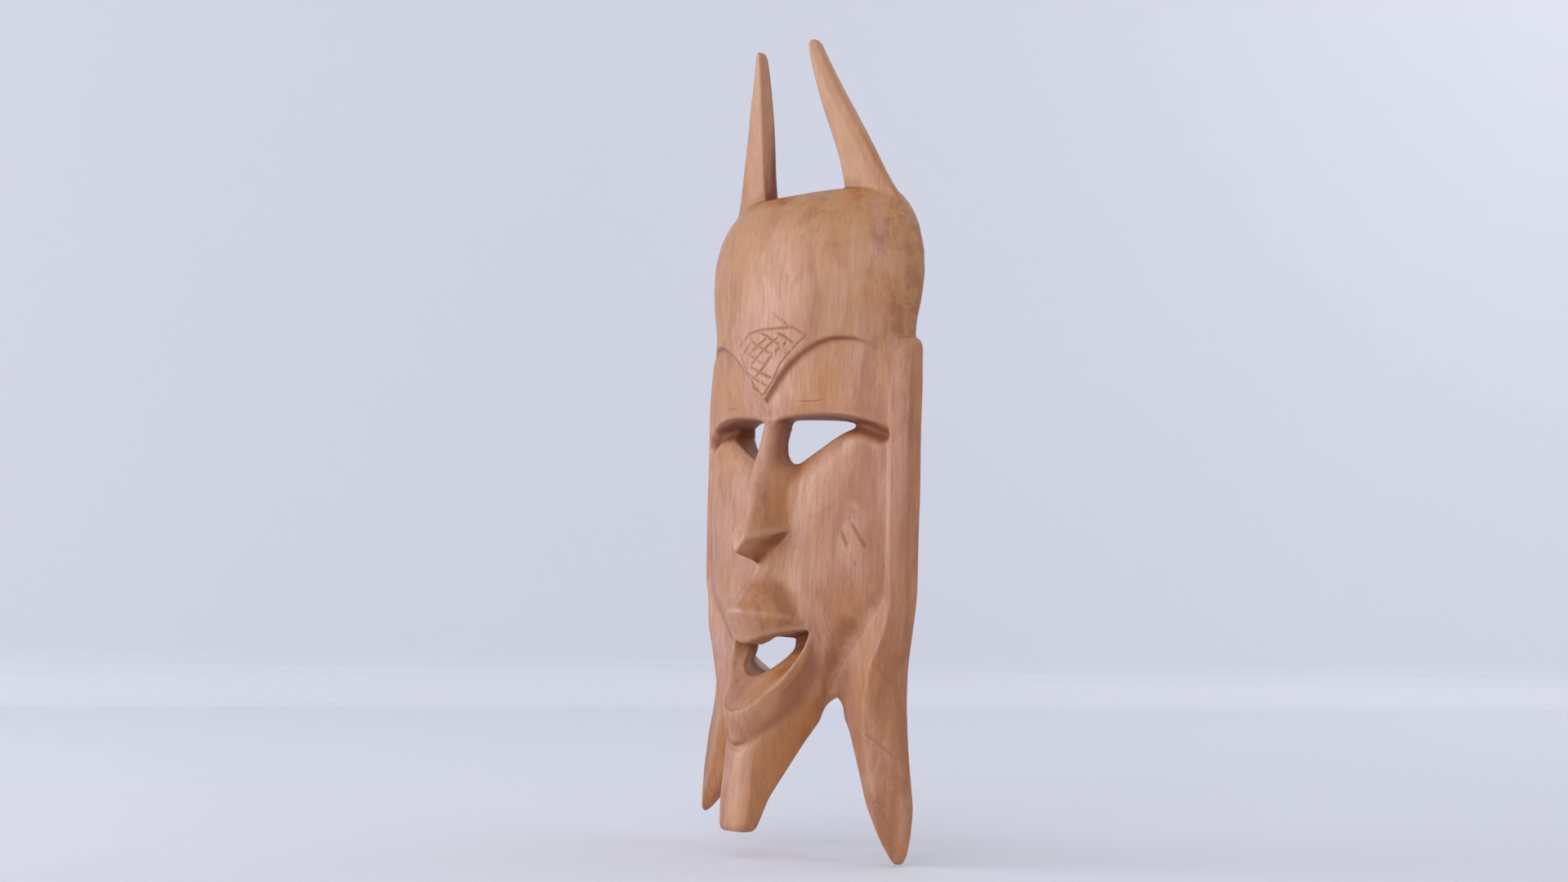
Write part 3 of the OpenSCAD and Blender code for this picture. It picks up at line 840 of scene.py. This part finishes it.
def set_camera():
    """The mask seen from its +X side, slightly from below, as if it leaned a little."""
    azimuth, rise, lean = (math.radians(a) for a in (VIEW_AZIMUTH, -4.2, 1.6))
    distance = 1.2066
    target = Vector((0, 0.0006, 0.2266))
    away = Vector((math.sin(azimuth) * math.cos(rise), -math.cos(azimuth) * math.cos(rise),
                   math.sin(rise)))
    data = bpy.data.cameras.new("camera")
    data.lens = 50
    data.sensor_width = 36
    camera = bpy.data.objects.new("camera", data)
    bpy.context.scene.collection.objects.link(camera)
    aim(camera, target + away * distance, target, lean)
    bpy.context.scene.camera = camera


def area_light(name, place, target, size, power, colour):
    """A soft box of the given width and height."""
    data = bpy.data.lights.new(name, "AREA")
    data.shape = "RECTANGLE"
    data.size, data.size_y = size
    data.energy = power
    data.color = colour
    lamp = bpy.data.objects.new(name, data)
    bpy.context.scene.collection.objects.link(lamp)
    aim(lamp, Vector(place), Vector(target))


def set_lights():
    """A broad key from the -X side, a weaker front light and a wash on the backdrop."""
    middle = (0, 0, 0.24)
    area_light("key", (-1.75, -1.75, 0.55), middle, (2.2, 1.8), 44, (0.97, 0.98, 1.0))
    area_light("front", (1.1, -2.2, 1.1), middle, (1.6, 1.2), 9, (1.0, 0.99, 0.98))
    area_light("wall wash", (0.3, 2.4, 1.6), (-0.9, 2.3, 0.5), (1.5, 1.5), 7, (1.0, 1.0, 1.0))
    world = bpy.data.worlds.new("studio")
    world.use_nodes = True
    sky = world.node_tree.nodes["Background"].inputs
    sky["Color"].default_value = linear(234, 236, 246)
    sky["Strength"].default_value = 0.90
    bpy.context.scene.world = world
    bpy.context.scene.view_settings.view_transform = "Standard"


def build_stage():
    """A pale floor that turns up into a long straight backdrop behind the mask."""
    foot = Vector((-1.17, 1.09, 0))
    turn = math.radians(VIEW_AZIMUTH + 28)
    out = Vector((-math.sin(turn), math.cos(turn), 0))
    side = Vector((math.cos(turn), math.sin(turn), 0))
    near, half, radius, tall = -14.0, 14.0, 0.06, 5.0
    profile = [(near, 0.0)]
    profile += [(radius * math.sin(a), radius - radius * math.cos(a))
                for a in np.linspace(0, math.pi / 2, 8)]
    profile += [(radius, tall)]
    places, faces = [], []
    for run, lift in profile:
        for across in (-half, half):
            places.append(foot + out * run + side * across + Vector((0, 0, lift)))
    for i in range(len(profile) - 1):
        faces.append((2 * i, 2 * i + 1, 2 * i + 3, 2 * i + 2))
    mesh = bpy.data.meshes.new("backdrop")
    mesh.from_pydata([tuple(p) for p in places], [], faces)
    sweep = bpy.data.objects.new("backdrop", mesh)
    bpy.context.scene.collection.objects.link(sweep)
    n = Nodes("paper")
    mottle = n.noise(n.stretched(1, 1, 1), 3, 2, 0.5)
    colour = n.mix(mottle, linear(226, 227, 232), linear(228, 229, 234))
    mesh.materials.append(n.finish(colour, 0.9))


# ---------------------------------------------------------------- the whole scene

def give(obj, material):
    """Gives a piece its material."""
    obj.data.materials.clear()
    obj.data.materials.append(material)


def main():
    set_camera()
    build_stage()
    set_lights()
    wood = carve_wood()
    give(wood, wood_material())
    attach(wood, "mask")
    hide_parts("mask_body")
    brass = metal_material("hanger_brass", linear(196, 160, 92), linear(134, 98, 50), 90)
    ring = metal_material("ring_brass", linear(204, 168, 100), linear(140, 104, 54), 110)
    steel = metal_material("screw_steel", linear(176, 176, 180), linear(120, 116, 112), 200)
    felt = felt_material()
    finishes = {"hanger_strap": brass, "hanger_ring": ring, "screw": steel, "pad": felt}
    for name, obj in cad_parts.items():
        for start, material in finishes.items():
            if name.startswith(start):
                for i in range(len(obj.material_slots)):
                    obj.material_slots[i].material = material


main()
